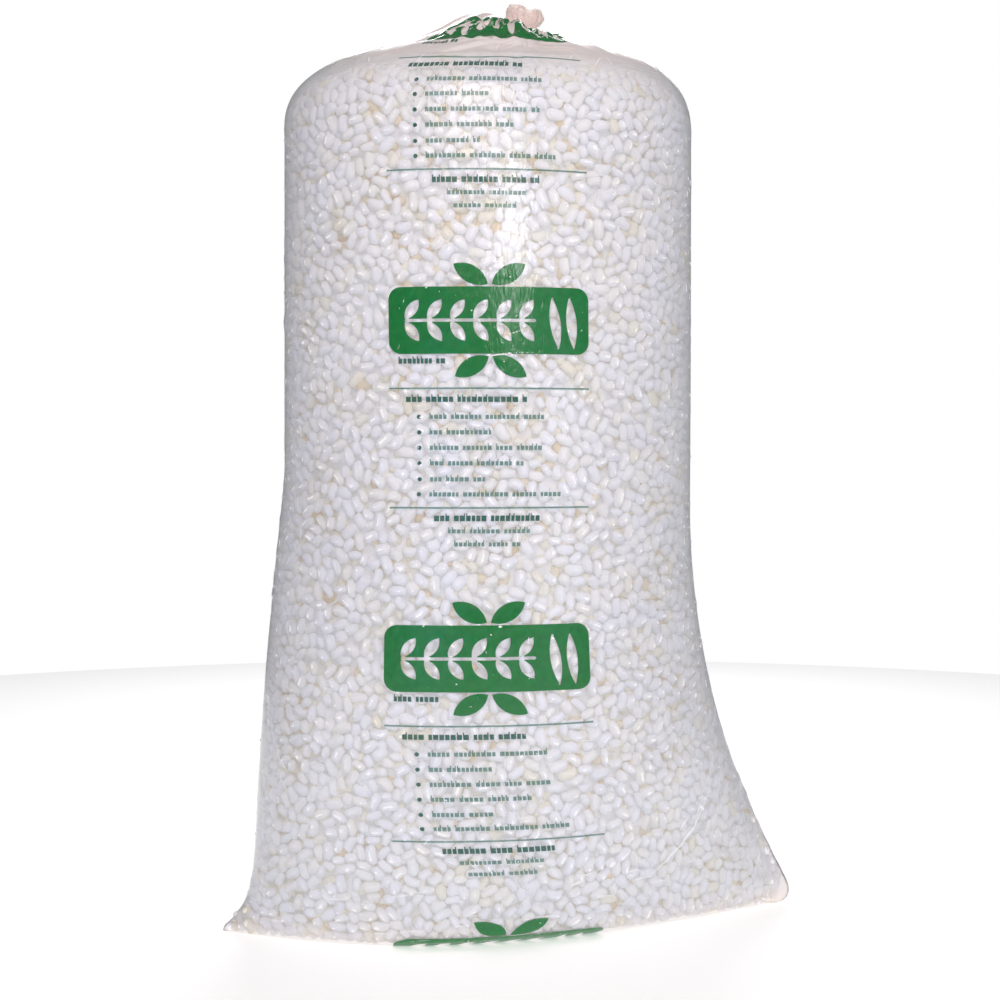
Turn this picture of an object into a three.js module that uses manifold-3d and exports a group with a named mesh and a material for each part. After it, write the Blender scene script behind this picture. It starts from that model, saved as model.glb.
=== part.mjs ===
// A large clear bag of loose-fill packing peanuts, filled, tied and standing on its bottom weld.
// The bag is a length of lay-flat polyethylene tube: one weld closes its bottom, and its top is
// gathered into a neck. Millimetres, +Z up, the printed front facing -Y. The origin is under the
// middle of the bag's box, on the floor.

import * as THREE from 'three';
import { ParametricGeometry } from 'three/addons/geometries/ParametricGeometry.js';
import * as BufferGeometryUtils from 'three/addons/utils/BufferGeometryUtils.js';
import Module from 'manifold-3d';

const wasm = await Module();
wasm.setup();

// ---------- Driving dimensions ----------

const WALL_LEFT = 373; // from the fill's axis to the upright left wall
const WALL_RIGHT = 323; // and to the upright right wall
const HALF_DEPTH = 270; // from the fill's axis to the front and to the back
const WALL_TOP = 1327; // where the walls start to turn in to the shoulders
const CROWN_RISE = 156; // from there up to the foot of the neck
const SHOULDER_ROUNDNESS = 2.45; // the shoulder's superellipse: 2 is round, more is squarer
const GATHER_RISE = 40; // how high the slack film bunches up in front of the neck
const GATHER_X = -52;
const GATHER_Y = -55;
const GATHER_SPREAD = 72;

const BULGE_HEIGHT_LEFT = 750; // below this the left wall leans out a little
const BULGE_LEFT = 50;
const FLARE_HEIGHT_RIGHT = 720; // below this the right wall runs out to its ear
const FLARE_RIGHT = 207;
const FLARE_POWER = 2.05;
const EAR_LEFT = 68; // how far the left corner of the weld juts out at the floor
const EAR_LEFT_HEIGHT = 35; // the height over which most of that is gone
const EAR_RADIUS_LEFT = 22; // how round the two corners are, seen from the front
const EAR_RADIUS_RIGHT = 44;
const HEM_RADIUS = 30; // how round the front and back turn under

const BASE_NARROWING = 0.35; // how much of the depth the flat weld takes away at the floor
const NARROWING_HEIGHT = 150;
const BASE_SKEW = 110; // how far to the left the flat base is at its deepest
const LENS_LEFT = 1.1; // how far the section's left end is drawn out to a point at the floor
const LENS_LEFT_HEIGHT = 50;
const LENS_RIGHT = 1.3;
const LENS_RIGHT_HEIGHT = 260;

const NECK_X = 36; // the neck stands a little right of the fill's axis
const NECK_RADIUS = 11;
const NECK_HEIGHT = 10;
const FUNNEL_RADIUS = 30; // where the crown turns up into the neck
const TUFT_RADIUS = 30;
const TUFT_HEIGHT = 54;
const TUFT_LOBES = 2;
const TUFT_LOBE_SIZE = 0.22; // of its radius

const FILM_THICKNESS = 0.06;
const GAP = 0.3; // between the film and what it holds

const FILL_TOP = 1458; // the peanuts' crown, under slack film
const FILL_SHORT_LEFT = 0.65; // how much of each corner is too tight for the peanuts
const FILL_SHORT_RIGHT = 0.14;

const TIE_WIDTH = 4.8;
const TIE_THICKNESS = 1.3;
const TIE_HEAD = new THREE.Vector3(8, 6, 7.6); // out from the neck, along the strap, upright
const TIE_TAIL_LENGTH = 26;
const TIE_SIDES = 32;

const STATIONS = 48; // points round the section
const CORNER_RINGS = 5; // rings in the turn at the floor
const WALL_RINGS = 13;
const CROWN_RINGS = 8;
const NECK_RINGS = 2;
const TUFT_RINGS = 4;

// ---------- The bag's form ----------

// How far a rounded corner of the given radius has drawn in at a height above the floor.
function cornerInset(height, radius) {
  const below = Math.max(0, radius - height);
  return radius - Math.sqrt(radius * radius - below * below);
}

// The section at a height below the shoulders. `short` says how far what fills it stops short of
// the two corners of the weld, as shares of how far each juts out at the floor.
function sectionAt(height, short) {
  const bulge = Math.max(0, 1 - height / BULGE_HEIGHT_LEFT);
  const flare = Math.max(0, 1 - height / FLARE_HEIGHT_RIGHT);
  const earLeft = EAR_LEFT * Math.exp(-height / EAR_LEFT_HEIGHT);
  const earRight = FLARE_RIGHT * flare ** FLARE_POWER;
  const left = WALL_LEFT + BULGE_LEFT * Math.sin(Math.PI / 2 * bulge) + earLeft
    - cornerInset(height, EAR_RADIUS_LEFT);
  const right = WALL_RIGHT + earRight - cornerInset(height, EAR_RADIUS_RIGHT);
  const centre = (right - left) / 2 - BASE_SKEW * Math.exp(-height / NARROWING_HEIGHT);
  return {
    centre,
    reachLeft: left + centre - short.left * earLeft,
    reachRight: right - centre - short.right * earRight,
    halfDepth: HALF_DEPTH * (1 - BASE_NARROWING * Math.exp(-height / NARROWING_HEIGHT))
      - cornerInset(height, HEM_RADIUS),
    powerLeft: 1 + LENS_LEFT * Math.exp(-height / LENS_LEFT_HEIGHT),
    powerRight: 1 + LENS_RIGHT * Math.exp(-height / LENS_RIGHT_HEIGHT),
  };
}

// One point of a section. An angle of 0 is the right end, and 270 degrees is the front.
function sectionPoint(section, angle, height) {
  const along = Math.cos(angle);
  const across = Math.sin(angle);
  const power = along > 0 ? section.powerRight : section.powerLeft;
  const reach = along > 0 ? section.reachRight : section.reachLeft;
  return new THREE.Vector3(
    section.centre + reach * along,
    section.halfDepth * Math.sign(across) * Math.abs(across) ** power,
    height,
  );
}

// A ring is one closed row of points, from its function of the angle.
function ring(pointAt) {
  return Array.from({ length: STATIONS }, (_, i) => pointAt(2 * Math.PI * i / STATIONS));
}

// The straight line that a row closes on: the ring pressed flat on its own middle plane.
function pressedFlat(points) {
  return points.map((point) => new THREE.Vector3(point.x, 0, point.z));
}

// The rings from the floor to the top of the walls.
function wallRings(short) {
  const heights = [];
  for (let i = 0; i < CORNER_RINGS; i += 1) {
    heights.push(EAR_RADIUS_RIGHT * (1 - Math.cos(Math.PI / 2 * i / CORNER_RINGS)));
  }
  for (let i = 0; i <= WALL_RINGS; i += 1) {
    const share = (i / WALL_RINGS) ** 1.5;
    heights.push(THREE.MathUtils.lerp(EAR_RADIUS_RIGHT, WALL_TOP, share));
  }
  return heights.map((height) => {
    const section = sectionAt(height, short);
    return ring((angle) => sectionPoint(section, angle, height));
  });
}

// The shoulders and the crown: the wall's last section drawn in towards the neck.
function crownRings(short, rise, gatherRise) {
  const section = sectionAt(WALL_TOP, short);
  const lastShare = FUNNEL_RADIUS / HALF_DEPTH;
  const lastTurn = Math.acos(lastShare ** (SHOULDER_ROUNDNESS / 2));
  return Array.from({ length: CROWN_RINGS }, (_, i) => {
    const turn = lastTurn * (i + 1) / CROWN_RINGS;
    const share = Math.cos(turn) ** (2 / SHOULDER_ROUNDNESS);
    const height = WALL_TOP + rise * Math.sin(turn) ** (2 / SHOULDER_ROUNDNESS);
    return ring((angle) => {
      const point = sectionPoint(section, angle, height);
      point.x = THREE.MathUtils.lerp(NECK_X, point.x, share);
      point.y *= share;
      const away = Math.hypot(point.x - GATHER_X, point.y - GATHER_Y) / GATHER_SPREAD;
      point.z += gatherRise * Math.exp(-away * away);
      return point;
    });
  });
}

// A round ring about the neck, with as many lobes as the tuft when it is given them.
function neckRing(radius, height, lobeSize) {
  return ring((angle) => {
    const reach = radius * (1 + lobeSize * Math.cos(TUFT_LOBES * angle));
    return new THREE.Vector3(NECK_X + reach * Math.cos(angle), reach * Math.sin(angle), height);
  });
}

const neckFoot = WALL_TOP + CROWN_RISE + FUNNEL_RADIUS - NECK_RADIUS;
const neckTop = neckFoot + NECK_HEIGHT;

function neckRings() {
  const rings = [];
  for (let i = 0; i <= NECK_RINGS; i += 1) {
    const height = THREE.MathUtils.lerp(neckFoot, neckTop, i / NECK_RINGS);
    rings.push(neckRing(NECK_RADIUS, height, 0));
  }
  for (let i = 1; i <= TUFT_RINGS; i += 1) {
    const share = i / TUFT_RINGS;
    const radius = THREE.MathUtils.lerp(NECK_RADIUS, TUFT_RADIUS, Math.sin(Math.PI / 2 * share));
    rings.push(neckRing(radius, neckTop + TUFT_HEIGHT * share, TUFT_LOBE_SIZE * share));
  }
  return rings;
}

// ---------- Surfaces from rows of points ----------

// The same rows moved inwards along each point's own normal.
function movedIn(rows, distance) {
  return rows.map((row, j) => row.map((point, i) => {
    const up = rows[Math.min(j + 1, rows.length - 1)][i].clone();
    up.sub(rows[Math.max(j - 1, 0)][i]);
    const onward = row[(i + 1) % STATIONS].clone();
    onward.sub(row[(i + STATIONS - 1) % STATIONS]);
    const outward = onward.cross(up).normalize();
    return point.clone().addScaledVector(outward, -distance);
  }));
}

// The surface through rows of points. Every surface splits its quads along the same diagonals, so
// two that follow each other a hair apart stay parallel.
function surface(rows) {
  const last = rows.length - 1;
  return new ParametricGeometry((u, v, target) => {
    target.copy(rows[Math.round(v * last)][Math.round(u * STATIONS) % STATIONS]);
  }, STATIONS, last);
}

function turnedInsideOut(geometry) {
  const index = geometry.index;
  for (let i = 0; i < index.count; i += 3) {
    const second = index.getX(i + 1);
    index.setX(i + 1, index.getX(i + 2));
    index.setX(i + 2, second);
  }
  return geometry;
}

function joined(surfaces) {
  const geometry = BufferGeometryUtils.mergeGeometries(surfaces);
  geometry.deleteAttribute('normal');
  geometry.deleteAttribute('uv');
  return BufferGeometryUtils.mergeVertices(geometry);
}

function raised(rows, height) {
  return rows.map((row) => row.map((point) => new THREE.Vector3(point.x, point.y,
    Math.max(point.z, height))));
}

// ---------- The film ----------

function filmGeometry() {
  const short = { left: 0, right: 0 };
  const outer = [
    ...wallRings(short),
    ...crownRings(short, CROWN_RISE, GATHER_RISE),
    ...neckRings(),
  ];
  const inner = raised(movedIn(outer, FILM_THICKNESS), FILM_THICKNESS);
  return joined([
    surface([pressedFlat(outer[0]), ...outer]),
    surface([outer.at(-1), inner.at(-1)]),
    turnedInsideOut(surface([pressedFlat(inner[0]), ...inner])),
  ]);
}

// ---------- The fill ----------

// The heap of peanuts as one solid: it bears on the film's walls and floor, stops short of the
// pinched corners, and leaves slack film over its crown.
function fillGeometry() {
  const short = { left: FILL_SHORT_LEFT, right: FILL_SHORT_RIGHT };
  const top = FILL_TOP - WALL_TOP;
  const skin = [...wallRings(short), ...crownRings(short, top, 0)];
  const inset = FILM_THICKNESS + GAP;
  const rows = raised(movedIn(skin, inset), inset);
  return joined([surface([pressedFlat(rows[0]), ...rows, pressedFlat(rows.at(-1))])]);
}

// ---------- The tie ----------

function toManifold(geometry) {
  const bare = geometry.clone();
  bare.deleteAttribute('normal');
  bare.deleteAttribute('uv');
  const merged = BufferGeometryUtils.mergeVertices(bare);
  return new wasm.Manifold(new wasm.Mesh({
    numProp: 3,
    vertProperties: new Float32Array(merged.attributes.position.array),
    triVerts: new Uint32Array(merged.index.array),
  }));
}

function fromManifold(solid) {
  const mesh = solid.getMesh();
  const geometry = new THREE.BufferGeometry();
  geometry.setAttribute('position', new THREE.BufferAttribute(mesh.vertProperties, 3));
  geometry.setIndex(new THREE.BufferAttribute(mesh.triVerts, 1));
  return geometry;
}

// A cable tie: a flat strap drawn round the neck, the head it passes through, and its tail,
// which leans out behind the neck.
function tieGeometry() {
  const inner = NECK_RADIUS + GAP;
  const outer = inner + TIE_THICKNESS;
  const half = TIE_WIDTH / 2;
  const band = new THREE.LatheGeometry([
    new THREE.Vector2(inner, -half),
    new THREE.Vector2(outer, -half),
    new THREE.Vector2(outer, half),
    new THREE.Vector2(inner, half),
    new THREE.Vector2(inner, -half),
  ], TIE_SIDES);
  band.rotateX(Math.PI / 2);
  const head = new THREE.BoxGeometry(TIE_HEAD.y, TIE_HEAD.x, TIE_HEAD.z);
  head.translate(0, inner + GAP + TIE_HEAD.x / 2, 0);
  const tail = new THREE.BoxGeometry(TIE_TAIL_LENGTH, TIE_THICKNESS, TIE_WIDTH);
  tail.translate(TIE_TAIL_LENGTH / 2, inner + GAP + TIE_HEAD.x / 2, 0);
  return fromManifold(toManifold(band).add(toManifold(head)).add(toManifold(tail)));
}

// ---------- The assembly ----------

const film = new THREE.Mesh(filmGeometry(), new THREE.MeshStandardMaterial({
  name: 'clear low-density polyethylene film',
  color: 0xe6ebf0,
  roughness: 0.15,
  metalness: 0,
}));
film.name = 'bag_film';

const fill = new THREE.Mesh(fillGeometry(), new THREE.MeshStandardMaterial({
  name: 'extruded starch foam',
  color: 0xf4f2ec,
  roughness: 0.9,
  metalness: 0,
}));
fill.name = 'loose_fill';

const tie = new THREE.Mesh(tieGeometry(), new THREE.MeshStandardMaterial({
  name: 'natural nylon',
  color: 0xe9e6da,
  roughness: 0.45,
  metalness: 0,
}));
tie.name = 'neck_tie';
tie.position.set(NECK_X, 0, (neckFoot + neckTop) / 2);

const bag = new THREE.Group();
bag.add(film, fill, tie);

// The origin goes under the middle of the box.
const middle = new THREE.Box3().setFromObject(bag).getCenter(new THREE.Vector3());
bag.position.set(-middle.x, -middle.y, 0);

export default bag;
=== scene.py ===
# %% [markdown]
# # A clear bag of packing peanuts
# A tall clear bag, full of loose foam peanuts, stands on its own weld. Almost all that the eye
# meets is inside it: thousands of small white pieces, pressed against a film that shows itself
# only by its shine, its folds and its green print. So the pieces are made one by one, and the
# film is a thin sheet over them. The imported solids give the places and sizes: this script starts
# by loading them and never moves them.

import math

import bmesh
import bpy
import numpy as np
from mathutils import Matrix, Vector, noise
from mathutils.bvhtree import BVHTree
from mathutils.kdtree import KDTree


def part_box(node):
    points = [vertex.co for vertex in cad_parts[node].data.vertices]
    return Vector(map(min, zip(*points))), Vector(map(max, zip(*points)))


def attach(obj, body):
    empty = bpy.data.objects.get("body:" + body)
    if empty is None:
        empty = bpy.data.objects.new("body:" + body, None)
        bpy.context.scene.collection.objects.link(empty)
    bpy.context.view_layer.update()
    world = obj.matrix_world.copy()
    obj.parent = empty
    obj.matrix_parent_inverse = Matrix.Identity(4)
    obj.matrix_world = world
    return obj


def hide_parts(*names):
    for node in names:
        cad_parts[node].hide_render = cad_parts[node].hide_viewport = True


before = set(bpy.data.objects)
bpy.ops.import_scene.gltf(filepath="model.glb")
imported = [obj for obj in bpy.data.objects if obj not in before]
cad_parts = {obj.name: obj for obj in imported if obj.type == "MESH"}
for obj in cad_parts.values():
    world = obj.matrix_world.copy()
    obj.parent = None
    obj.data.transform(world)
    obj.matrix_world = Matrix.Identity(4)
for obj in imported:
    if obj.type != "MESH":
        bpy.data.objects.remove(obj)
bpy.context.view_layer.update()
film_low, film_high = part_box("bag_film")
fill_low, fill_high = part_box("loose_fill")

# %% [markdown]
# ## Camera, floor and light
# The camera stands about three metres in front and a little to the left, at the height of a
# person's waist, and looks level, so that the upright walls aren't drawn leaning together. A long
# lens keeps the bag's proportions. It is shifted a little downwards, because a camera tilted
# down would make the walls lean after all.

# %% The camera
CAMERA_TURN = math.radians(-11)  # round the bag from straight in front
CAMERA_DISTANCE = 3.0
CAMERA_HEIGHT = 0.8025
CAMERA_ASIDE = -0.025
LENS = 63.4
LENS_SHIFT = -0.055

camera_data = bpy.data.cameras.new("camera")
camera_data.lens = LENS
camera_data.shift_y = LENS_SHIFT
camera = bpy.data.objects.new("camera", camera_data)
bpy.context.scene.collection.objects.link(camera)
bpy.context.scene.camera = camera
bpy.context.scene.view_settings.view_transform = "Standard"
looking = Vector((-math.sin(CAMERA_TURN), math.cos(CAMERA_TURN), 0))
rightwards = Vector((looking.y, -looking.x, 0))
camera.location = rightwards * CAMERA_ASIDE - looking * CAMERA_DISTANCE
camera.location.z = CAMERA_HEIGHT
camera.rotation_euler = (math.radians(90), 0, CAMERA_TURN)
print("camera at", tuple(round(x, 3) for x in camera.location))

# %% [markdown]
# A colour is given as the hex number that a paint or print chart gives, and turned into the
# linear values that light adds up in. One small function adds a node with its settings and its
# links, so that each material below reads as a list of what feeds what.

# %% Helpers for materials
def linear(hex_colour):
    channels = [int(hex_colour[i:i + 2], 16) / 255 for i in (1, 3, 5)]
    return [c / 12.92 if c <= 0.04045 else ((c + 0.055) / 1.055) ** 2.4 for c in channels] + [1]


def add_node(tree, kind, settings=None, **links):
    """Adds a node. A link's value is a socket to link, or a value to set, by the input's name."""
    node = tree.nodes.new(kind)
    for name, value in (settings or {}).items():
        setattr(node, name, value)
    for name, value in links.items():
        wanted = name.replace("_", " ")
        socket = next(s for s in node.inputs if s.name == wanted and not s.is_linked)
        if isinstance(value, bpy.types.NodeSocket):
            tree.links.new(value, socket)
        else:
            socket.default_value = value
    return node


def new_material(name):
    material = bpy.data.materials.new(name)
    material.use_nodes = True
    material.node_tree.nodes.clear()
    print("material:", name)
    return material, material.node_tree


def finish_material(tree, shader):
    add_node(tree, "ShaderNodeOutputMaterial", Surface=shader)


def mixed_shader(tree, share, first, second):
    """Two shaders in one: only the first shows at a share of 0, and only the second at 1."""
    mix = add_node(tree, "ShaderNodeMixShader", Fac=share)
    tree.links.new(first, mix.inputs[1])
    tree.links.new(second, mix.inputs[2])
    return mix.outputs[0]

# %% [markdown]
# The floor is a white disc that glows a little, which no real floor does; it keeps the floor
# pale round a white bag. A large warm softbox above the camera is the main light. Two weak
# bluish ones stand low in front, one to each side. A small lamp higher up and to the right of the
# camera gives the film its sharp glints, and a second large softbox stands behind the bag. The
# camera sees white surroundings, which light the bag only dimly.

# %% The floor and the light
FLOOR_COLOUR = "#F6F6F5"
FLOOR_REACH = 3.6
FLOOR_GLOW = 0.44
SURROUNDINGS = 0.27  # how much light comes from all around

floor_material, tree = new_material("lit white acrylic floor")
floor_shader = add_node(tree, "ShaderNodeBsdfPrincipled", Base_Color=linear(FLOOR_COLOUR),
                        Roughness=0.9, Emission_Color=linear("#FFFFFF"),
                        Emission_Strength=FLOOR_GLOW)
finish_material(tree, floor_shader.outputs[0])
bm = bmesh.new()
bmesh.ops.create_circle(bm, cap_ends=True, segments=96, radius=FLOOR_REACH)
floor_mesh = bpy.data.meshes.new("studio_floor")
bm.to_mesh(floor_mesh)
bm.free()
floor = bpy.data.objects.new("studio_floor", floor_mesh)
floor_mesh.materials.append(floor_material)
bpy.context.scene.collection.objects.link(floor)


def area_light(name, place, size, power, colour, aim=(0, 0, 0.75)):
    data = bpy.data.lights.new(name, "AREA")
    data.shape = "RECTANGLE"
    data.size, data.size_y = size
    data.energy = power
    data.color = linear(colour)[:3]
    light = bpy.data.objects.new(name, data)
    bpy.context.scene.collection.objects.link(light)
    light.location = place
    light.rotation_euler = (Vector(aim) - Vector(place)).to_track_quat("-Z", "Y").to_euler()
    print("light:", name, power, "W")


area_light("key_softbox", (-0.6, -3.0, 2.5), (1.5, 1.5), 45, "#FFEFE6", aim=(0, 0, 1.4))
area_light("low_fill", (1.5, -3.0, 0.7), (1.2, 1.2), 5, "#DCE8FF", aim=(0, 0, 0.5))
area_light("cool_fill", (-1.4, -3.0, 0.5), (1.2, 1.2), 5, "#8CC0FF", aim=(0, 0, 0.4))
area_light("flash", (0.35, -3.3, 1.5), (0.25, 0.25), 10, "#FFFFFF")
area_light("back_light", (0.6, 2.8, 2.6), (1.6, 1.6), 55, "#FFFFFF")

world = bpy.data.worlds.new("studio")
bpy.context.scene.world = world
world.use_nodes = True
tree = world.node_tree
tree.nodes.clear()
path = add_node(tree, "ShaderNodeLightPath")
seen = add_node(tree, "ShaderNodeBackground", Color=linear("#FFFFFF"), Strength=1.0)
lit = add_node(tree, "ShaderNodeBackground", Color=linear("#F0F1F6"),
               Strength=SURROUNDINGS)
around = mixed_shader(tree, path.outputs["Is Camera Ray"], lit.outputs[0], seen.outputs[0])
add_node(tree, "ShaderNodeOutputWorld", Surface=around)

# %% [markdown]
# ## The form of the film
# The bag is a tube of lay-flat film. Its bottom weld lies under it, straight from ear to ear, and
# the full tube above it is rounder. So each level has a section that runs from a pointed lens at
# the floor to an ellipse half way up, and its width and depth follow a few rules of height. The
# solids were lofted by the same rules, which are repeated here, because the film now needs a much
# finer net and, at each point, its distance along the film: that is where print belongs.

# %% The section at each height
WALL_LEFT, WALL_RIGHT, HALF_DEPTH = 0.373, 0.323, 0.270
WALL_TOP, CROWN_RISE, SHOULDER_ROUNDNESS = 1.327, 0.156, 2.45
BULGE_HEIGHT_LEFT, BULGE_LEFT = 0.750, 0.050
FLARE_HEIGHT_RIGHT, FLARE_RIGHT, FLARE_POWER = 0.720, 0.207, 2.05
EAR_LEFT, EAR_LEFT_HEIGHT = 0.068, 0.035
EAR_RADIUS_LEFT, EAR_RADIUS_RIGHT, HEM_RADIUS = 0.022, 0.044, 0.030
BASE_NARROWING, NARROWING_HEIGHT, BASE_SKEW = 0.35, 0.150, 0.110
LENS_LEFT, LENS_LEFT_HEIGHT = 1.1, 0.050
LENS_RIGHT, LENS_RIGHT_HEIGHT = 1.3, 0.260
GATHER_RISE, GATHER_X, GATHER_Y, GATHER_SPREAD = 0.040, -0.052, -0.055, 0.072
NECK_X, NECK_RADIUS, NECK_HEIGHT = 0.036, 0.011, 0.010
FUNNEL_RADIUS, TUFT_RADIUS, TUFT_HEIGHT = 0.030, 0.030, 0.054
AROUND = np.linspace(np.pi, 3 * np.pi, 1441)  # from the left ear along the front and back again


def corner_inset(height, radius):
    below = max(0.0, radius - height)
    return radius - math.sqrt(radius * radius - below * below)


def wall_ring(height):
    """The closed section at a height below the shoulders, as dense points."""
    bulge = max(0.0, 1 - height / BULGE_HEIGHT_LEFT)
    flare = max(0.0, 1 - height / FLARE_HEIGHT_RIGHT)
    left = (WALL_LEFT + BULGE_LEFT * math.sin(math.pi / 2 * bulge)
            + EAR_LEFT * math.exp(-height / EAR_LEFT_HEIGHT) - corner_inset(height, EAR_RADIUS_LEFT))
    right = (WALL_RIGHT + FLARE_RIGHT * flare ** FLARE_POWER
             - corner_inset(height, EAR_RADIUS_RIGHT))
    squeeze = math.exp(-height / NARROWING_HEIGHT)
    centre = (right - left) / 2 - BASE_SKEW * squeeze
    depth = HALF_DEPTH * (1 - BASE_NARROWING * squeeze) - corner_inset(height, HEM_RADIUS)
    along, across = np.cos(AROUND), np.sin(AROUND)
    rightwards_half = along > 0
    reach = np.where(rightwards_half, right - centre, left + centre)
    power = np.where(rightwards_half, 1 + LENS_RIGHT * math.exp(-height / LENS_RIGHT_HEIGHT),
                     1 + LENS_LEFT * math.exp(-height / LENS_LEFT_HEIGHT))
    x = centre + reach * along
    y = depth * np.sign(across) * np.abs(across) ** power
    return np.stack([x, y, np.full_like(x, height)], axis=1)


def crown_ring(turn, rise=CROWN_RISE, gather=GATHER_RISE):
    """The last section drawn in towards the neck, as it climbs over the shoulders."""
    ring = wall_ring(WALL_TOP)
    share = math.cos(turn) ** (2 / SHOULDER_ROUNDNESS)
    ring[:, 0] = NECK_X + (ring[:, 0] - NECK_X) * share
    ring[:, 1] *= share
    ring[:, 2] = WALL_TOP + rise * math.sin(turn) ** (2 / SHOULDER_ROUNDNESS)
    away = np.hypot(ring[:, 0] - GATHER_X, ring[:, 1] - GATHER_Y) / GATHER_SPREAD
    ring[:, 2] += gather * np.exp(-away * away)
    return ring


def round_ring(radius, height):
    return np.stack([NECK_X + radius * np.cos(AROUND), radius * np.sin(AROUND),
                     np.full_like(AROUND, height)], axis=1)


LAST_TURN = math.acos((FUNNEL_RADIUS / HALF_DEPTH) ** (SHOULDER_ROUNDNESS / 2))
NECK_FOOT = WALL_TOP + CROWN_RISE + FUNNEL_RADIUS - NECK_RADIUS
NECK_TOP = NECK_FOOT + NECK_HEIGHT


def film_ring(stage, share):
    """A ring of the film: the stages are base, wall, crown, neck and tuft, each from 0 to 1."""
    if stage == "base":
        ring = wall_ring(0.0)
        ring[:, 1] *= share
        return ring
    if stage == "wall":
        return wall_ring(WALL_TOP * share)
    if stage == "crown":
        return crown_ring(LAST_TURN * share)
    if stage == "neck":
        if share < 0.5:
            last, first = crown_ring(LAST_TURN), round_ring(NECK_RADIUS, NECK_FOOT)
            s = share * 2
            blend = last + (first - last) * s
            blend[:, 2] = last[:, 2] + (first[:, 2] - last[:, 2]) * s * s
            return blend
        return round_ring(NECK_RADIUS, NECK_FOOT + (NECK_TOP - NECK_FOOT) * (share * 2 - 1))
    radius = NECK_RADIUS + (TUFT_RADIUS - NECK_RADIUS) * math.sin(math.pi / 2 * share)
    return round_ring(radius, NECK_TOP + TUFT_HEIGHT * share)


# %% [markdown]
# The net has to be even along the film, because a fold is as fine on the shoulder as on the wall.
# So each stage is first walked in small steps up the middle of the front, and its rows are placed
# at equal distances along that walk. Round each row the columns are placed at equal distances
# too, the front half and the back half by themselves, from ear to ear. A column is then one line
# of the sheet all the way up, as a thread would be, so a print bends and gathers with the film.

# %% The net
COLUMNS = 288
FLAT_WIDTH = 0.98  # of the empty tube, lying flat
ROW_STEP = {"base": 0.010, "wall": 0.0068, "crown": 0.0050, "neck": 0.0035, "tuft": 0.0030}
FRONT = len(AROUND) // 4  # the dense point in the middle of the front


def stage_rows(stage, step):
    shares = np.linspace(0, 1, 401)
    walk = np.array([film_ring(stage, s)[FRONT] for s in shares])
    along = np.concatenate([[0], np.cumsum(np.linalg.norm(np.diff(walk, axis=0), axis=1))])
    count = max(2, math.ceil(along[-1] / step))
    return np.interp(np.linspace(0, along[-1], count + 1), along, shares)


def even_columns(ring):
    steps = np.linalg.norm(np.diff(ring, axis=0), axis=1)
    along = np.concatenate([[0], np.cumsum(steps)])
    half, whole = along[len(along) // 2], along[-1]
    front = np.linspace(0, half, COLUMNS // 2 + 1)
    back = np.linspace(half, whole, COLUMNS // 2 + 1)[1:]
    places = np.concatenate([front, back])
    return np.stack([np.interp(places, along, ring[:, k]) for k in range(3)], axis=1)


rows = []
for stage in ROW_STEP:
    shares = stage_rows(stage, ROW_STEP[stage])
    rows += [(stage, s) for s in (shares if stage == "base" else shares[1:])]
film_net = np.array([even_columns(film_ring(*row)) for row in rows])
film_net[..., 0] += film_low.x - film_net[..., 0].min()
stage_of = np.array([stage for stage, _ in rows])
share_of = np.array([share for _, share in rows])
middle = film_net[:, COLUMNS // 4]
film_up = np.concatenate([[0], np.cumsum(np.linalg.norm(np.diff(middle, axis=0), axis=1))])
film_up -= film_up[np.flatnonzero(stage_of == "base")[-1]]
film_across = (np.arange(COLUMNS + 1) / (COLUMNS // 2) - 0.5) * FLAT_WIDTH
print("net", film_net.shape, "x", film_net[..., 0].min(), film_net[..., 0].max(),
      "length up the film", film_up[0], "to", film_up[-1])


def net_normals(net):
    """The outward direction at each point of a net whose columns run round and rows run up."""
    onward = np.roll(net[:, :-1], -1, axis=1) - np.roll(net[:, :-1], 1, axis=1)
    onward = np.concatenate([onward, onward[:, :1]], axis=1)
    up = np.gradient(net, axis=0)
    outward = np.cross(onward, up)
    return outward / np.maximum(np.linalg.norm(outward, axis=2, keepdims=True), 1e-12)

# %% [markdown]
# ## The peanuts
# Starch loose fill is pushed through a die, puffs up, and is cut off in short lengths: blunt,
# slightly bent cylinders about 27 mm long and 17 mm thick, with rounded ends. There are tens of
# thousands in the bag, and what shows is the outermost layer, pressed flat against the film, and
# a little of the next one between them. So a few different peanuts are modelled, each with only
# a few dozen faces, and thousands of copies are laid side by side under the film.

# %% A few different peanuts
PEANUT_RADIUS = 0.0084
OUTER_FACES, INNER_FACES = (8, 5), (6, 4)  # round and along each peanut
PEANUT_KINDS = 14
dice = np.random.default_rng(7)


def peanut_template(kind, sides, rings):
    """One blunt cylinder lying along X, of unit radius, with its length left to the copies."""
    bm = bmesh.new()
    bmesh.ops.create_uvsphere(bm, u_segments=sides, v_segments=rings, radius=1.0)
    bmesh.ops.rotate(bm, verts=bm.verts, matrix=Matrix.Rotation(math.pi / 2, 3, "Y"))
    for v in bm.verts:
        squarer = max(abs(v.co.x), 1e-6) ** 0.85 * math.copysign(1, v.co.x)
        girth = math.hypot(v.co.y, v.co.z)
        fuller = girth ** 0.6 / max(girth, 1e-6)
        lump = 1 + 0.46 * noise.noise(v.co * 1.25 + Vector((kind * 7.3, 0, 0)))
        v.co = Vector((squarer, v.co.y * fuller * lump, v.co.z * fuller * lump))
    points = np.array([v.co for v in bm.verts])
    faces = [[v.index for v in f.verts] for f in bm.faces]
    bm.free()
    return points, faces


outer_kinds = [peanut_template(kind, *OUTER_FACES) for kind in range(PEANUT_KINDS)]
inner_kinds = [peanut_template(kind, *INNER_FACES) for kind in range(PEANUT_KINDS)]
print("one peanut:", len(outer_kinds[0][0]), "points,", len(outer_kinds[0][1]), "faces")

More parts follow.
